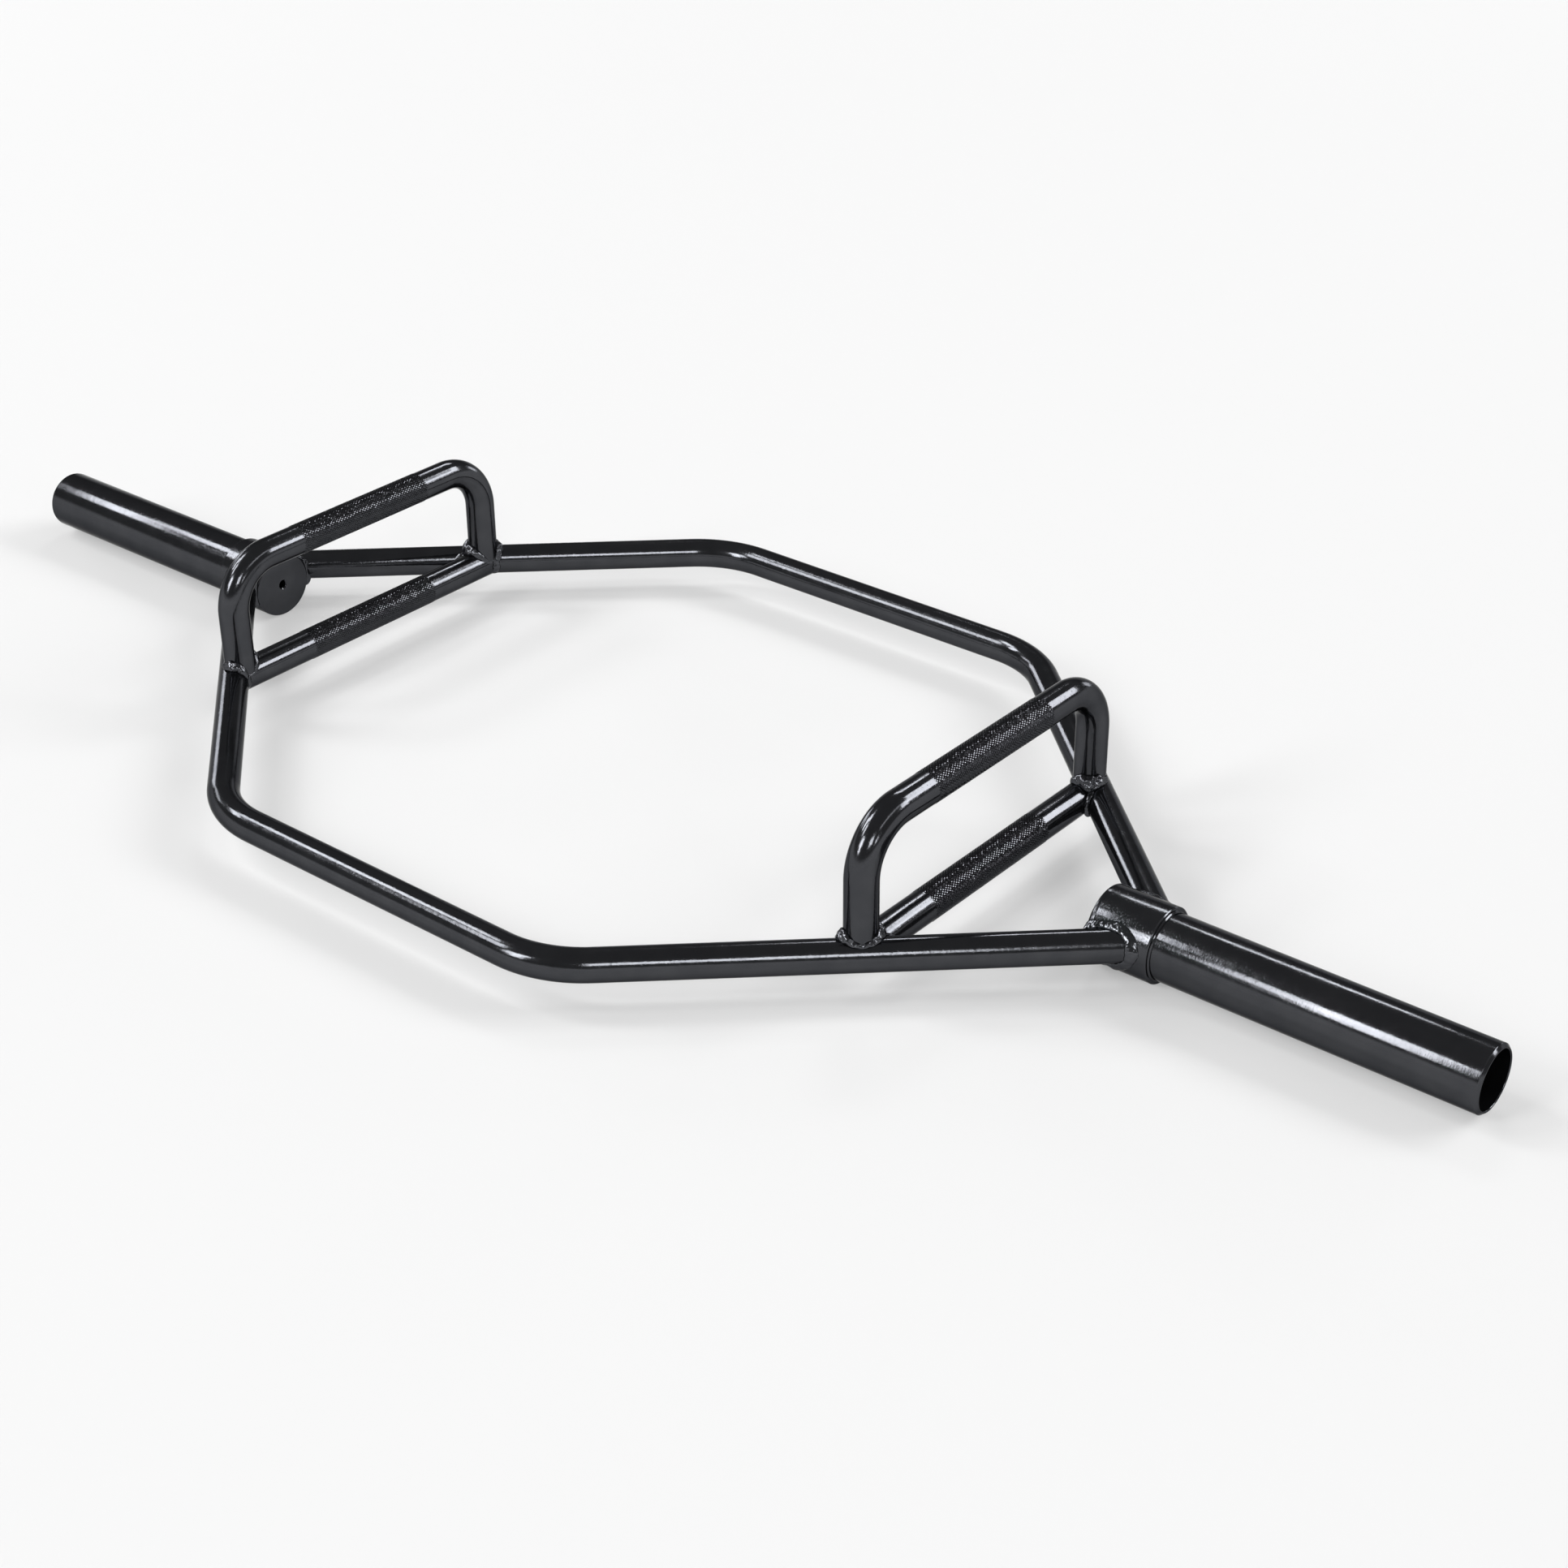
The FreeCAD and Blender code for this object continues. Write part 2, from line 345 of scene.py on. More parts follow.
def knurl(skin, start_ring, start, finish, across, valley_radius, top_radius, pitch):
    """Rows of blunt diamonds rolled onto a straight bar; gives back the ring at its end."""
    direction = (finish - start).normalized()
    aside = across.cross(direction)
    rows = 2 * round((finish - start).length / pitch)
    step = (finish - start) / rows
    half_turns = 2 * BAR_SEGMENTS

    def place(column, row, radius):
        turn = column * math.pi / BAR_SEGMENTS
        return start + step * row + (aside * math.cos(turn) + across * math.sin(turn)) * radius

    valleys = {(2 * index + 1, 0): spot for index, spot in enumerate(start_ring)}
    for row in range(1, rows + 1):
        columns = range((row + 1) % 2, half_turns, 2)
        indices = skin.ring([place(column, row, valley_radius) for column in columns])
        valleys.update({(column, row): index for column, index in zip(columns, indices)})

    def valley(column, row):
        return valleys[(column % half_turns, row)]

    corners = [(-1, 0), (0, -1), (1, 0), (0, 1)]
    worn = 0.1 * MM
    wear_level = 0.5
    wear_grain = 3.1
    rim_drop = 0.12 * MM
    rim_reach = 0.78
    top_reach = 0.42

    def level(column, row, reach, radius):
        """Four corners of one diamond; reach is their share of the way to its valleys."""
        spots = []
        for across_step, along_step in corners:
            at_column, at_row = column + reach * across_step, row + reach * along_step
            spot = place(at_column, at_row, radius)
            wear = worn * max(0.0, wear_level + noise.noise(spot / pitch * wear_grain))
            spots.append(place(at_column, at_row, radius - wear))
        return skin.ring(spots)

    grooves = []
    for row in range(1, rows):
        for column in range(row % 2, half_turns, 2):
            outer = [valley(column + across_step, row + along_step) for across_step, along_step in corners]
            rim = level(column, row, rim_reach, top_radius - rim_drop)
            top = level(column, row, top_reach, top_radius)
            grooves.extend(range(len(skin.faces), len(skin.faces) + len(corners)))
            skin.join(outer, rim)
            skin.join(rim, top)
            skin.faces.append(tuple(top))
    skin.grooves = grooves
    for column in range(0, half_turns, 2):
        skin.faces.append((valley(column - 1, 0), valley(column + 1, 0), valley(column, 1)))
        skin.faces.append((valley(column + 1, rows), valley(column - 1, rows), valley(column, rows - 1)))
    return [valley(column, rows) for column in range(1, half_turns, 2)]


def skin_gripped_bar(skin, before, after, start, finish, across, sizes, radius):
    """A closed bar whose rings before and after a knurled grip are given."""
    neck_length = 0.3 * MM
    direction = (finish - start).normalized()
    neck = direction * neck_length

    def section(centre):
        return round_section(centre, direction, across, radius)

    first = [skin.ring(ring) for ring in before + [section(start - neck), section(start)]]
    skin.join_all(first)
    tail = knurl(skin, first[-1], start, finish, across, radius, grip_radius, sizes.knurl_pitch)
    last = [skin.ring(ring) for ring in [section(finish + neck)] + after]
    skin.join_all([tail] + last)
    skin.close(first[0], at_start=True)
    skin.close(last[-1], at_start=False)


def eased(outline, radius):
    """A closed outline of (x, radius) pairs with every corner rounded."""
    most_of_edge = 0.45
    spots = [Vector(spot) for spot in outline]
    rounded = []
    for before, corner, after in zip(spots[-1:] + spots[:-1], spots, spots[1:] + spots[:1]):
        back, ahead = before - corner, after - corner
        reach = min(radius, most_of_edge * back.length, most_of_edge * ahead.length)
        start = corner + back.normalized() * reach
        end = corner + ahead.normalized() * reach
        for step in range(EASE_STEPS + 1):
            along = step / EASE_STEPS
            near = start.lerp(corner, along)
            rounded.append(near.lerp(corner.lerp(end, along), along))
    return rounded


def turned(outline):
    """A skin turned about the sleeve axis, from a closed outline of (x, radius) pairs."""
    skin = Skin()
    rings = []
    for x, radius in outline:
        spots = []
        for index in range(TURNED_SEGMENTS):
            turn = 2 * math.pi * index / TURNED_SEGMENTS
            spots.append(Vector((x, radius * math.cos(turn), sleeve_height + radius * math.sin(turn))))
        rings.append(skin.ring(spots))
    skin.join_all(rings + rings[:1])
    return skin


# Weld beads

class Seam:
    """One step of a seam: its spot, and for both surfaces the way along them and their normals."""

    def __init__(self, spot, first_normal, second_normal, first_way):
        self.spot = spot
        self.first_normal = first_normal
        self.second_normal = second_normal
        self.first_way = first_way
        self.second_way = None


def finish_seams(seams, outward):
    """Works out the way along the second surface, out from the bar that the bead goes round."""
    smooth_steps = 3
    count = len(seams)
    for index, seam in enumerate(seams):
        along = (seams[(index + 1) % count].spot - seams[index - 1].spot).normalized()
        way = along.cross(seam.second_normal).normalized()
        if way.dot(outward(seam.spot)) < 0:
            way.negate()
        seam.second_way = way
    smoothed = []
    for index in range(count):
        near = [seams[(index + offset) % count] for offset in range(-smooth_steps, smooth_steps + 1)]
        smoothed.append((
            sum((seam.second_way for seam in near), Vector()).normalized(),
            sum((seam.second_normal for seam in near), Vector()).normalized()))
    for seam, (way, normal) in zip(seams, smoothed):
        seam.second_way, seam.second_normal = way, normal


def waver(spot, amount, waves_per_metre, shift):
    """A factor near 1 that changes along a seam."""
    return 1 + amount * noise.noise(spot * waves_per_metre + Vector(shift))


def weld_bead(seams, climb, spread, ripple_pitch, lump_depth, seed, thin=1.0, heavy=(), least_x=0.0):
    """A rippled fillet of weld metal along a closed seam: thin all round, with more on its heavy sides."""
    # The bead's section: shares of its width, and how deep its edges lie in the surfaces
    full_angle = math.radians(60)
    swell = 0.13
    root = 0.25
    sunk = 0.12 * MM
    flat_sunk = 2
    edge_steepness = 3
    # What changes along the bead: ripples, lumps, and how much the welder's pace and the bead's edges waver
    ripple_depth = 0.15 * MM
    ripple_bow = 0.8
    ripple_level = 0.6
    lump_size = 4.5 * MM
    pace_change, pace_waves = 0.7, 90
    load_change, load_waves = 0.3, 110
    edge_change, edge_waves = 0.18, 300
    skin = Skin(BEAD_SHARP_ANGLE)
    middle_spot = sum((seam.spot for seam in seams), Vector()) / len(seams)
    travelled = 0.0
    rings = []
    for index, seam in enumerate(seams):
        stretch = waver(seam.spot, pace_change, pace_waves, (0, 0, seed))
        travelled += (seam.spot - seams[index - 1].spot).length * stretch if index else 0.0
        outward = (seam.first_normal + seam.second_normal).normalized()
        meeting = min(1.0, seam.first_normal.angle(seam.second_normal) / full_angle)
        away = (seam.spot - middle_spot).normalized()
        load = thin + sum(gain * max(0.0, away.dot(side)) ** 2 for side, gain in heavy)
        load *= meeting * waver(seam.spot, load_change, load_waves, (seed, 0, 0))
        up = climb * load * waver(seam.spot, edge_change, edge_waves, (seed, 5, 0))
        out = spread * load * waver(seam.spot, edge_change, edge_waves, (seed, 9, 0))
        spots = []
        for step in range(BEAD_STEPS + 1):
            across = step / BEAD_STEPS
            crown = 4 * across * (1 - across)
            spot = seam.spot + seam.first_way * ((1 - across) * up) + seam.second_way * (across * out)
            ripple = abs(math.sin(math.pi * (travelled / ripple_pitch + ripple_bow * crown))) - ripple_level
            lump = noise.noise(spot / lump_size + Vector((0, seed, 0)))
            swelling = swell * (up + out) + meeting * (lump * lump_depth + ripple * ripple_depth)
            edge = 1 - min(1.0, edge_steepness * crown)
            foot = seam.first_normal * (1 - across) + seam.second_normal * across
            sinking = sunk * (edge + flat_sunk * (1 - meeting))
            spot += outward * (math.sqrt(crown) * swelling) - foot.normalized() * sinking
            spots.append(Vector((max(spot.x, least_x), spot.y, spot.z)))
        spots.append(seam.spot - outward * (root * spread))
        rings.append(skin.ring(spots))
    first = seams[0]
    facing = (seams[1].spot - first.spot).cross(first.second_way - first.first_way)
    if facing.dot(first.first_normal + first.second_normal) > 0:
        rings.reverse()
    skin.join_all(rings + rings[:1])
    return skin


def collar_seams(lines, count=190):
    """Round the front rail's right foot, on the collar."""
    seams = []
    for index in range(count):
        turn = 2 * math.pi * index / count
        normal = lines.arm_side * math.cos(turn) + UP * math.sin(turn)
        start = Vector((lines.corner_x, -corner_y, rail_height)) + normal * rail_radius
        spot = lines.onto_collar(start, lines.arm_direction)
        collar_normal = Vector((0, spot.y, spot.z - sleeve_height)).normalized()
        seams.append(Seam(spot, normal, collar_normal, -lines.arm_direction))
    axis_spot = Vector((lines.meeting_x, 0, rail_height))

    def outward(spot):
        away = spot - axis_spot
        return away - lines.arm_direction * away.dot(lines.arm_direction)

    finish_seams(seams, outward)
    return seams


def handle_seams(lines, count=170):
    """Round the front end of the right low handle, on the arm."""
    seams = []
    for index in range(count):
        turn = 2 * math.pi * index / count
        normal = ALONG_X * math.cos(turn) + UP * math.sin(turn)
        start = Vector((handle_x, 0, rail_height)) + normal * lines.handle_radius
        spot = lines.onto_arm(start)
        rail_normal = lines.arm_side * lines.arm_offset(spot) + UP * (spot.z - rail_height)
        seams.append(Seam(spot, normal, rail_normal.normalized(), ALONG_Y))

    def outward(spot):
        return Vector((spot.x - handle_x, 0, spot.z - rail_height))

    finish_seams(seams, outward)
    return seams


def leg_seams(lines, count=200):
    """Round the foot of the right high handle's front leg."""
    seams = []
    for index in range(count):
        turn = 2 * math.pi * index / count
        normal = ALONG_X * math.cos(turn) + ALONG_Y * math.sin(turn)
        start = Vector((handle_x, -lines.leg_y, high_grip_height)) + normal * lines.handle_radius
        spot = lines.onto_saddle(start)
        offset = lines.arm_offset(spot)
        on_rail = offset <= 0 or lines.rail_top(spot) >= lines.low_handle_top(spot)
        if on_rail:
            seat_normal = lines.arm_side * offset + UP * (spot.z - rail_height)
        else:
            seat_normal = Vector((spot.x - handle_x, 0, spot.z - rail_height))
        seams.append(Seam(spot, normal, seat_normal.normalized(), UP.copy()))

    def outward(spot):
        return Vector((spot.x - handle_x, spot.y + lines.leg_y, 0))

    finish_seams(seams, outward)
    return seams


# Paint

# Numbers of the sockets that a mix node uses for colours
MIX_FACTOR, MIX_FIRST, MIX_SECOND, MIX_RESULT = 0, 6, 7, 2


class Recipe:
    """Adds nodes to one material and links them."""

    def __init__(self, name):
        self.material = bpy.data.materials.new(name)
        self.material.use_nodes = True
        self.tree = self.material.node_tree
        self.shader = self.tree.nodes["Principled BSDF"]
        self.place = self.node("ShaderNodeTexCoord").outputs["Object"]

    def node(self, kind, **inputs):
        made = self.tree.nodes.new(kind)
        for name, value in inputs.items():
            socket = made.inputs[name.replace("_", " ")]
            if isinstance(value, bpy.types.NodeSocket):
                self.tree.links.new(value, socket)
            else:
                socket.default_value = value
        return made

    def link(self, source, socket):
        self.tree.links.new(source, socket)

    def noise(self, place, scale, detail=2.0):
        return self.node("ShaderNodeTexNoise", Vector=place, Scale=scale, Detail=detail).outputs["Fac"]

    def ranged(self, value, from_low, from_high, to_low, to_high):
        made = self.node("ShaderNodeMapRange", Value=value, From_Min=from_low, From_Max=from_high,
                         To_Min=to_low, To_Max=to_high)
        return made.outputs["Result"]

    def maths(self, operation, first, second=None):
        made = self.node("ShaderNodeMath")
        made.operation = operation
        self.link(first, made.inputs[0])
        if second is not None:
            self.link(second, made.inputs[1])
        return made.outputs["Value"]

    def distance_along_x(self):
        split = self.node("ShaderNodeSeparateXYZ", Vector=self.place)
        return self.maths("ABSOLUTE", split.outputs["X"])

    def drawn_round_x(self):
        """The place with Y and Z shrunk, so that a texture is drawn out into rings round X."""
        shrink = 0.03
        drawn = self.node("ShaderNodeMapping", Vector=self.place, Scale=(1, shrink, shrink))
        return drawn.outputs["Vector"]

    def bump(self, height, distance, normal=None):
        made = self.node("ShaderNodeBump", Height=height, Distance=distance, Strength=1.0)
        if normal is not None:
            self.link(normal, made.inputs["Normal"])
        return made.outputs["Normal"]

    def blended(self, value, first, second):
        made = self.node("ShaderNodeMix")
        made.data_type = "RGBA"
        made.inputs[MIX_FIRST].default_value = (*first, 1)
        made.inputs[MIX_SECOND].default_value = (*second, 1)
        self.link(value, made.inputs[MIX_FACTOR])
        return made.outputs[MIX_RESULT]


def black_paint(name, grit_size=1.5 * MM, grit_depth=0.02 * MM, peel_size=5 * MM, peel_depth=0.05 * MM,
                painted_light=1.0, fade=None, turning_depth=0.0):
    """Gloss black paint over sparse grit, which thins out over the fade along X, and turning marks; the
    given factor scales its colour, below 1 as painted shade and above 1 as painted sheen.
    """
    finish = bpy.context.scene.trap_bar_finish
    thin_patches_per_metre, thin_range = 55, (0.35, 0.7)
    gloss_patches_per_metre, gloss_range = 120, (0.3, 0.7)
    roughness = (finish.gloss_roughness - 0.02, finish.gloss_roughness + 0.04)
    turning_pitch = 0.9 * MM
    speck_range = (0.58, 0.78)
    grit_left = 0.45
    recipe = Recipe(name)

    thin = recipe.ranged(recipe.noise(recipe.place, thin_patches_per_metre, detail=4), *thin_range, 0, 1)
    # The colour is scaled by the given factor: below 1 it is painted shade in the knurl's grooves, above 1
    # painted sheen on the welds
    thick_colour = [value * painted_light for value in finish.paint_colour]
    thin_colour = [value * painted_light for value in finish.paint_thin]
    recipe.link(recipe.blended(thin, thick_colour, thin_colour), recipe.shader.inputs["Base Color"])

    patches = recipe.noise(recipe.place, gloss_patches_per_metre, detail=3)
    recipe.link(recipe.ranged(patches, *gloss_range, *roughness), recipe.shader.inputs["Roughness"])

    skin = recipe.bump(recipe.noise(recipe.place, 1 / peel_size), peel_depth)
    if turning_depth:
        skin = recipe.bump(recipe.noise(recipe.drawn_round_x(), 1 / turning_pitch), turning_depth, skin)
    specks = recipe.ranged(recipe.noise(recipe.place, 1 / grit_size, detail=1), *speck_range, 0, 1)
    if fade:
        thinning = recipe.ranged(recipe.distance_along_x(), *fade, 1, grit_left)
        specks = recipe.maths("MULTIPLY", specks, thinning)
    recipe.link(recipe.bump(specks, grit_depth, skin), recipe.shader.inputs["Normal"])

    recipe.shader.inputs["Metallic"].default_value = finish.metal_share
    tint = finish.edge_tint
    recipe.shader.inputs["Specular Tint"].default_value = (tint, tint, tint, 1)
    return recipe.material


# Operators, one for each group of like pieces

class TRAPBAR_OT_rails(bpy.types.Operator):
    """The front and rear rails: bent bars whose ends are cut to the collars"""
    bl_idname = "trapbar.rails"
    bl_label = "Rails"
    bl_options = {"REGISTER", "UNDO"}

    def execute(self, context):
        sizes = context.scene.trap_bar_sizes
        lines = BarLines(sizes)
        corners = [
            Vector((-lines.meeting_x, 0, rail_height)),
            Vector((-lines.corner_x, -corner_y, rail_height)),
            Vector((lines.corner_x, -corner_y, rail_height)),
            Vector((lines.meeting_x, 0, rail_height)),
        ]
        places = bent_line(corners, sizes.rail_bend_radius)[1:-1]
        rings = [round_section(place, way, UP, rail_radius) for place, way in places]
        first_way, last_way = places[0][1], places[-1][1]
        ring_gap = 150 * MM
        inset = [spot - first_way * ring_gap for spot in rings[0]]
        outset = [spot + last_way * ring_gap for spot in rings[-1]]
        start = [lines.onto_collar(spot, first_way) for spot in inset]
        finish = [lines.onto_collar(spot, last_way) for spot in outset]
        skin = Skin()
        skin_bar(skin, [start, inset] + rings + [outset, finish])
        paint = black_paint("rail_paint")
        for end, flip in ENDS.items():
            show(skin, end + "_rail_painted", paint, [end + "_rail"], flip_y=flip)
        return {"FINISHED"}


class TRAPBAR_OT_low_handles(bpy.types.Operator):
    """The low handles: straight knurled bars between the rails"""
    bl_idname = "trapbar.low_handles"
    bl_label = "Low handles"
    bl_options = {"REGISTER", "UNDO"}

    def execute(self, context):
        sizes = context.scene.trap_bar_sizes
        lines = BarLines(sizes)

        def ring(y):
            return round_section(Vector((handle_x, y, rail_height)), ALONG_Y, ALONG_X, lines.handle_radius)

        foot = [lines.onto_arm(spot) for spot in ring(0)]
        toe = [Vector((spot.x, -spot.y, spot.z)) for spot in foot]
        ring_gap = 20 * MM
        ring_y = lines.grip_half + ring_gap
        before = [foot, ring(-ring_y)]
        after = [ring(ring_y), toe]
        grip_start = Vector((handle_x, -lines.grip_half, rail_height))
        grip_finish = Vector((handle_x, lines.grip_half, rail_height))
        skin = Skin(KNURL_SHARP_ANGLE)
        skin_gripped_bar(skin, before, after, grip_start, grip_finish, ALONG_X, sizes, lines.handle_radius)
        paint = black_paint("low_grip_paint")
        # The grooves' paint is darkened as painted shade in the knurl's hollows
        groove_shade_paint = black_paint("low_groove_paint", painted_light=PAINTED_GROOVE_SHADE)
        for side, flip in SIDES.items():
            node = side + "_low_handle"
            show(skin, node + "_painted", paint, [node], flip, groove_shade_material=groove_shade_paint)
        return {"FINISHED"}


class TRAPBAR_OT_high_handles(bpy.types.Operator):
    """The high handles: knurled bars on two bent legs"""
    bl_idname = "trapbar.high_handles"
    bl_label = "High handles"
    bl_options = {"REGISTER", "UNDO"}

    def execute(self, context):
        sizes = context.scene.trap_bar_sizes
        lines = BarLines(sizes)
        corners = [
            Vector((handle_x, -lines.leg_y, lines.leg_foot_z)),
            Vector((handle_x, -lines.leg_y, high_grip_height)),
            Vector((handle_x, lines.leg_y, high_grip_height)),
            Vector((handle_x, lines.leg_y, lines.leg_foot_z)),
        ]
        places = bent_line(corners, sizes.handle_bend_radius)[1:-1]
        rings = [round_section(place, way, ALONG_X, lines.handle_radius) for place, way in places]
        front_rings, rear_rings = rings[:len(rings) // 2], rings[len(rings) // 2:]
        foot = [lines.onto_saddle(spot) for spot in front_rings[0]]
        ankle = [Vector((spot.x, spot.y, high_grip_height / 2)) for spot in foot]
        toe_ankle = [Vector((spot.x, spot.y, high_grip_height / 2)) for spot in rear_rings[-1]]
        toe = []
        for spot in rear_rings[-1]:
            mirrored = lines.onto_saddle(Vector((spot.x, -spot.y, spot.z)))
            toe.append(Vector((spot.x, spot.y, mirrored.z)))
        grip_start = Vector((handle_x, -lines.grip_half, high_grip_height))
        grip_finish = Vector((handle_x, lines.grip_half, high_grip_height))
        before = [foot, ankle] + front_rings
        after = rear_rings + [toe_ankle, toe]
        skin = Skin(KNURL_SHARP_ANGLE)
        skin_gripped_bar(skin, before, after, grip_start, grip_finish, ALONG_X, sizes, lines.handle_radius)
        paint = black_paint("high_grip_paint")
        # The grooves' paint is darkened as painted shade in the knurl's hollows
        groove_shade_paint = black_paint("high_groove_paint", painted_light=PAINTED_GROOVE_SHADE)
        for side, flip in SIDES.items():
            node = side + "_high_handle"
            show(skin, node + "_painted", paint, [node], flip, groove_shade_material=groove_shade_paint)
        return {"FINISHED"}


class TRAPBAR_OT_sleeves(bpy.types.Operator):
    """The sleeves: bevelled tubes with turning marks under the paint"""
    bl_idname = "trapbar.sleeves"
    bl_label = "Sleeves"
    bl_options = {"REGISTER", "UNDO"}

    def execute(self, context):
        sizes = context.scene.trap_bar_sizes
        bore_radius = sleeve_radius - sizes.sleeve_wall
        seat_radius = sleeve_radius - sizes.seat_depth
        outline = eased([
            (collar_start_x, bore_radius),
            (collar_start_x, seat_radius),
            (sleeve_weld_end_x, seat_radius),
            (sleeve_weld_end_x, sleeve_radius),
            (sleeve_tip_x - sizes.sleeve_bevel, sleeve_radius),
            (sleeve_tip_x, sleeve_radius - sizes.sleeve_bevel),
            (sleeve_tip_x, bore_radius + sizes.bore_bevel),
            (sleeve_tip_x - sizes.bore_bevel, bore_radius),
        ], sizes.edge_softness)
        skin = turned(outline)
        fade_start_x = collar_end_x + 90 * MM
        fade_end_x = sleeve_tip_x - 60 * MM
        paint = black_paint("sleeve_paint", grit_size=1.3 * MM, grit_depth=0.025 * MM,
                            fade=(fade_start_x, fade_end_x), turning_depth=0.018 * MM)
        for side, flip in SIDES.items():
            node = side + "_sleeve"
            show(skin, node + "_painted", paint, [node], flip_x=flip)
        return {"FINISHED"}


class TRAPBAR_OT_collars(bpy.types.Operator):
    """The collars, their end plates and the thin weld ring against each sleeve"""
    bl_idname = "trapbar.collars"
    bl_label = "Collars and end plates"
    bl_options = {"REGISTER", "UNDO"}

    def execute(self, context):
        sizes = context.scene.trap_bar_sizes
        seat_radius = sleeve_radius - sizes.seat_depth
        collar = turned(eased([
            (collar_start_x, seat_radius),
            (collar_start_x, collar_radius),
            (collar_end_x - sizes.collar_bevel, collar_radius),
            (collar_end_x, collar_radius - sizes.collar_bevel),
            (collar_end_x, seat_radius),
        ], sizes.edge_softness))
        ring = turned(eased([
            (collar_end_x, seat_radius),
            (collar_end_x, sleeve_weld_radius),
            (sleeve_weld_end_x, sleeve_radius),
            (sleeve_weld_end_x, seat_radius),
        ], sizes.edge_softness))
        vent_radius = sizes.vent_diameter / 2
        rim = []
        for step in range(RIM_STEPS + 1):
            turn = math.pi / 2 * step / RIM_STEPS
            rim.append((
                plate_face_x + sizes.plate_edge_radius * (1 - math.cos(turn)),
                collar_radius - sizes.plate_edge_radius * (1 - math.sin(turn))))
        plate = turned([
            (collar_start_x, vent_radius),
            (plate_face_x + sizes.vent_countersink, vent_radius),
            (plate_face_x, vent_radius + sizes.vent_countersink),
            *rim,
            (collar_start_x, collar_radius),
        ])
        collar_paint = black_paint("collar_paint", grit_size=1.1 * MM, grit_depth=0.035 * MM)
        plate_paint = black_paint("end_plate_paint")
        ring_paint = black_paint("sleeve_weld_paint")
        for side, flip in SIDES.items():
            show(collar, side + "_collar_painted", collar_paint, [side + "_collar"], flip)
            show(plate, side + "_end_plate_painted", plate_paint, [side + "_end_plate"], flip)
            show(ring, side + "_sleeve_weld_painted", ring_paint, [side + "_sleeve_weld"], flip)
        return {"FINISHED"}


class TRAPBAR_OT_welds(bpy.types.Operator):
    """The rippled weld beads at the rails' feet, the legs and the low handles' ends"""
    bl_idname = "trapbar.welds"
    bl_label = "Weld beads"
    bl_options = {"REGISTER", "UNDO"}

    def execute(self, context):
        sizes = context.scene.trap_bar_sizes
        lines = BarLines(sizes)
        # The weld paints are brightened as painted sheen, so that the beads' glints shine brighter
        paint = black_paint("weld_paint", peel_size=2 * MM, peel_depth=0.35 * MM, painted_light=PAINTED_WELD_SHEEN)
        collar_paint = black_paint("collar_weld_paint", peel_size=3 * MM, peel_depth=0.3 * MM,
                                   painted_light=PAINTED_WELD_SHEEN)
        collar_least_x = plate_face_x + sizes.plate_edge_radius / 2
        collar_ripple, collar_lumps = 3 * MM, 0.7 * MM
        leg_ripple, leg_lumps = 3.6 * MM, 1.3 * MM
        handle_ripple, handle_lumps = 3.6 * MM, 1.0 * MM
        leg_climb, leg_spread, leg_thin = 1.2 * sizes.leg_bead, 0.8 * sizes.leg_bead, 0.45
        leg_sides = ((-lines.arm_direction, 0.75), (lines.arm_direction, 0.65), (ALONG_Y, 0.3))
        side_seed, end_seed = 3.7, 11.3
        for side, flip_x in SIDES.items():
            for end, flip_y in ENDS.items():
                corner = side + "_" + end
                seed = side_seed * flip_x + end_seed * flip_y
                collar_bead = weld_bead(
                    collar_seams(lines), sizes.collar_bead, sizes.collar_bead, collar_ripple, collar_lumps,
                    seed, least_x=collar_least_x)
                leg_bead = weld_bead(
                    leg_seams(lines), leg_climb, leg_spread, leg_ripple, leg_lumps,
                    seed + 1, leg_thin, leg_sides)
                handle_bead = weld_bead(
                    handle_seams(lines), sizes.handle_bead, sizes.handle_bead, handle_ripple, handle_lumps,
                    seed + 2)
                beads = {
                    "_collar_weld": (collar_bead, collar_paint, [corner + "_collar_weld"]),
                    "_leg_weld": (leg_bead, paint, [corner + "_leg_weld"]),
                    "_handle_weld": (
                        handle_bead, paint, [corner + "_outer_handle_weld", corner + "_inner_handle_weld"]),
                }
                for name, (skin, material, nodes) in beads.items():
                    show(skin, corner + name + "_painted", material, nodes, flip_x, flip_y)
        return {"FINISHED"}


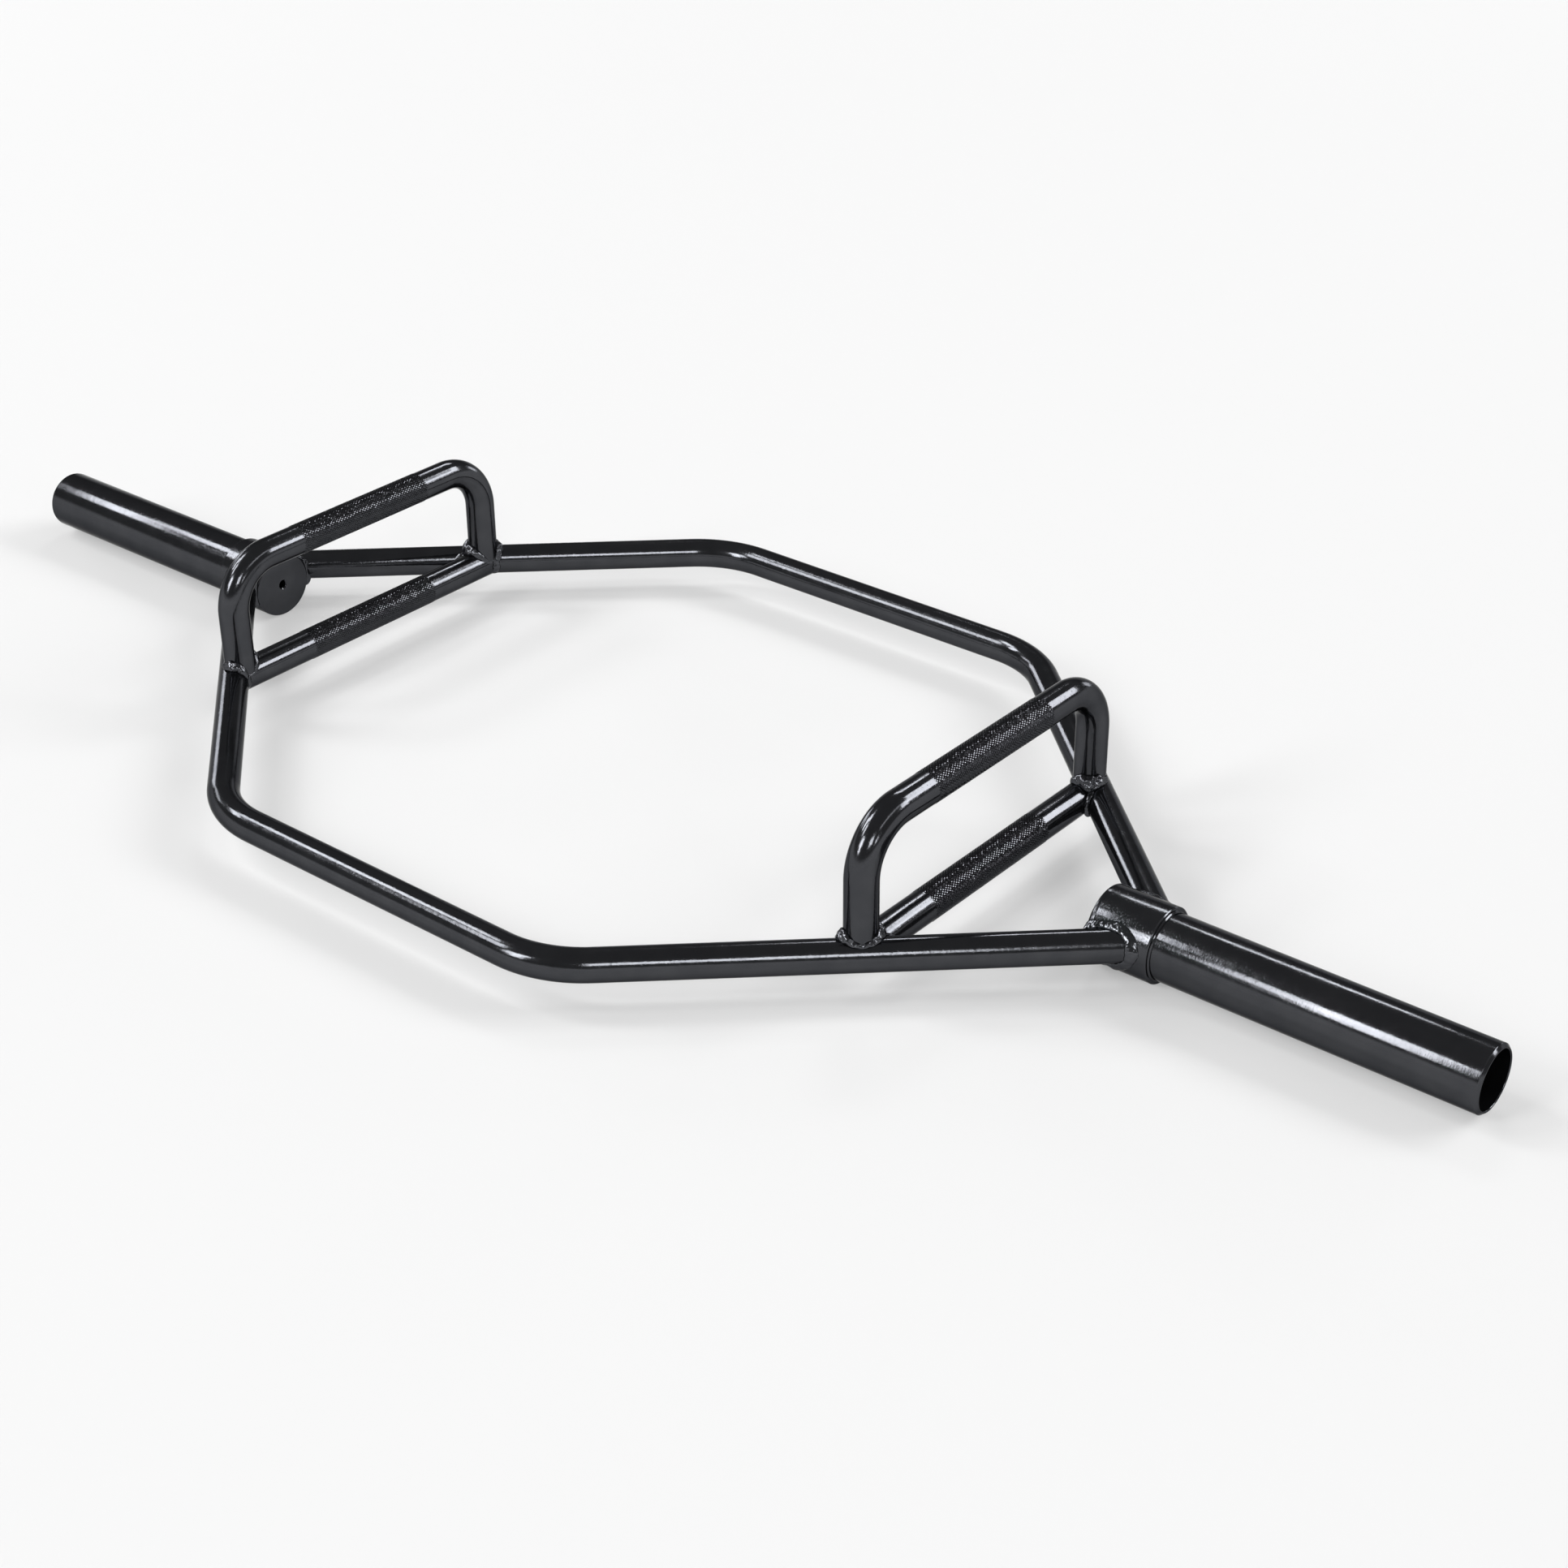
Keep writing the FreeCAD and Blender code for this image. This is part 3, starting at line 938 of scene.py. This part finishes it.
class TRAPBAR_OT_stage(bpy.types.Operator):
    """The floor, the studio, the lamps and the camera"""
    bl_idname = "trapbar.stage"
    bl_label = "Stage"
    bl_options = {"REGISTER", "UNDO"}

    def execute(self, context):
        stage = context.scene.trap_bar_stage
        context.scene.view_settings.view_transform = "Standard"
        self.lay_floor(stage)
        self.dim_studio(context, stage)
        self.hang_lamps(stage)
        self.set_camera(context, stage)
        return {"FINISHED"}

    def lay_floor(self, stage):
        """A wide floor that takes the shadows near the bar and is plain white far away."""
        reach = 60
        roughness = 0.9
        corners = [(-reach, -reach, 0), (reach, -reach, 0), (reach, reach, 0), (-reach, reach, 0)]
        mesh = bpy.data.meshes.new("studio_floor")
        mesh.from_pydata(corners, [], [(0, 1, 2, 3)])
        floor = bpy.data.objects.new("studio_floor", mesh)
        bpy.context.scene.collection.objects.link(floor)
        recipe = Recipe("floor_paint")
        reached = recipe.node("ShaderNodeVectorMath", Vector=recipe.place)
        reached.operation = "LENGTH"
        far = recipe.ranged(reached.outputs["Value"], stage.floor_near, stage.floor_far, 0, 1)
        recipe.link(recipe.blended(far, stage.floor_colour, (0, 0, 0)), recipe.shader.inputs["Base Color"])
        recipe.shader.inputs["Roughness"].default_value = roughness
        recipe.shader.inputs["Specular IOR Level"].default_value = 0.0
        rays = recipe.node("ShaderNodeLightPath").outputs
        seen = recipe.maths("ADD", rays["Is Camera Ray"], rays["Is Glossy Ray"])
        seen = recipe.maths("ADD", seen, rays["Is Transmission Ray"])
        glow = recipe.maths("MULTIPLY", seen, recipe.ranged(far, 0, 1, stage.floor_glow, 1))
        recipe.link(glow, recipe.shader.inputs["Emission Strength"])
        recipe.shader.inputs["Emission Color"].default_value = (1, 1, 1, 1)
        mesh.materials.append(recipe.material)

    def dim_studio(self, context, stage):
        """A white wall near the floor that darkens towards the ceiling."""
        white_to, dim_from = math.radians(6), math.radians(14)
        world = bpy.data.worlds.new("studio")
        world.use_nodes = True
        context.scene.world = world
        nodes, links = world.node_tree.nodes, world.node_tree.links
        place = nodes.new("ShaderNodeTexCoord")
        split = nodes.new("ShaderNodeSeparateXYZ")
        links.new(place.outputs["Generated"], split.inputs[0])
        height = nodes.new("ShaderNodeMapRange")
        height.interpolation_type = "SMOOTHSTEP"
        height.inputs["From Min"].default_value = math.sin(white_to)
        height.inputs["From Max"].default_value = math.sin(dim_from)
        height.inputs["To Min"].default_value = 1.0
        height.inputs["To Max"].default_value = stage.ceiling
        links.new(split.outputs["Z"], height.inputs["Value"])
        links.new(height.outputs["Result"], nodes["Background"].inputs["Strength"])
        nodes["Background"].inputs["Color"].default_value = (1, 1, 1, 1)

    def hang_lamps(self, stage):
        """Each lamp: azimuth from +X, elevation, width, height and tilt in degrees, then its strength."""
        lamps = {
            "far_left_lamp": (-164, 36.3, 16, 7, -25, 1.4),
            "high_left_lamp": (-168, 48, 12, 10, 0, 1.2),
            "left_lamp": (-140.5, 44, 16, 8, -50, 1),
            "front_left_lamp": (-117, 33, 9, 14, 0, 1),
            "front_lamp": (-108, 31, 9, 22, 0, 1.3),
            "front_right_lamp": (-46, 34, 13, 13, 0, 1),
            "right_lamp": (-19, 23, 6, 6, 0, 1),
            "right_strip": (8, 46, 40, 7, 0, 0.2),
            "near_rear_right_lamp": (40.5, 30.5, 19, 11, 66, 1),
            "rear_right_lamp": (59, 34, 27, 11, 45, 1.1),
            "low_rear_lamp": (86, 11, 14, 12, 0, 0.6),
            "rear_lamp": (118.5, 42, 14, 6, 0, 1.2),
            "low_left_lamp": (167, 12, 12, 11, 0, 1),
            "low_far_lamp": (179, 21.5, 16, 6, 0, 0.6),
        }
        aim = Vector((0, 0, rail_height))
        for name, (azimuth, elevation, wide, tall, tilt, strength) in lamps.items():
            turn, rise = math.radians(azimuth), math.radians(elevation)
            back = Vector((math.cos(turn) * math.cos(rise), math.sin(turn) * math.cos(rise), math.sin(rise)))
            level = Vector((-math.sin(turn), math.cos(turn), 0))
            light = bpy.data.lights.new(name, "AREA")
            light.shape = "RECTANGLE"
            light.size = 2 * stage.lamp_distance * math.tan(math.radians(wide) / 2)
            light.size_y = 2 * stage.lamp_distance * math.tan(math.radians(tall) / 2)
            light.energy = strength * stage.lamp_brightness * math.pi * light.size * light.size_y
            lamp = bpy.data.objects.new(name, light)
            axes = Matrix((level, back.cross(level), back)).transposed().to_4x4()
            spot = Matrix.Translation(aim + back * stage.lamp_distance)
            lamp.matrix_world = spot @ axes @ Matrix.Rotation(math.radians(tilt), 4, "Z")
            bpy.context.scene.collection.objects.link(lamp)

    def set_camera(self, context, stage):
        """A camera at the view that the stage's angles, target and distance give."""
        sensor = 36
        turn, rise = stage.camera_azimuth, stage.camera_elevation
        back = Vector((math.sin(turn) * math.cos(rise), -math.cos(turn) * math.cos(rise), math.sin(rise)))
        level = Vector((math.cos(turn), math.sin(turn), 0))
        axes = Matrix((level, back.cross(level), back)).transposed().to_4x4()
        spot = Vector(stage.camera_target) + back * stage.camera_distance
        data = bpy.data.cameras.new("studio_camera")
        data.sensor_width = sensor
        data.lens = stage.camera_lens
        camera = bpy.data.objects.new("studio_camera", data)
        camera.matrix_world = Matrix.Translation(spot) @ axes @ Matrix.Rotation(-stage.camera_roll, 4, "Z")
        context.scene.collection.objects.link(camera)
        context.scene.camera = camera


OPERATORS = (
    TRAPBAR_OT_rails,
    TRAPBAR_OT_low_handles,
    TRAPBAR_OT_high_handles,
    TRAPBAR_OT_sleeves,
    TRAPBAR_OT_collars,
    TRAPBAR_OT_welds,
    TRAPBAR_OT_stage,
)


class TRAPBAR_PT_panel(bpy.types.Panel):
    """Sizes, finishes and operators of the bar"""
    bl_idname = "TRAPBAR_PT_panel"
    bl_label = "Hex Trap Bar"
    bl_space_type = "VIEW_3D"
    bl_region_type = "UI"
    bl_category = "Trap Bar"

    def draw(self, context):
        scene = context.scene
        for group in (scene.trap_bar_sizes, scene.trap_bar_finish, scene.trap_bar_stage):
            box = self.layout.box()
            for name in group.__annotations__:
                box.prop(group, name)
        for operator in OPERATORS:
            self.layout.operator(operator.bl_idname)


CLASSES = (TrapBarSizes, TrapBarFinish, TrapBarStage, *OPERATORS, TRAPBAR_PT_panel)


def register():
    for made in CLASSES:
        bpy.utils.register_class(made)
    bpy.types.Scene.trap_bar_sizes = bpy.props.PointerProperty(type=TrapBarSizes)
    bpy.types.Scene.trap_bar_finish = bpy.props.PointerProperty(type=TrapBarFinish)
    bpy.types.Scene.trap_bar_stage = bpy.props.PointerProperty(type=TrapBarStage)


def unregister():
    del bpy.types.Scene.trap_bar_stage
    del bpy.types.Scene.trap_bar_finish
    del bpy.types.Scene.trap_bar_sizes
    for made in reversed(CLASSES):
        bpy.utils.unregister_class(made)


def main():
    register()
    bpy.ops.trapbar.rails()
    bpy.ops.trapbar.low_handles()
    bpy.ops.trapbar.high_handles()
    bpy.ops.trapbar.sleeves()
    bpy.ops.trapbar.collars()
    bpy.ops.trapbar.welds()
    bpy.ops.trapbar.stage()


if __name__ == "__main__":
    main()
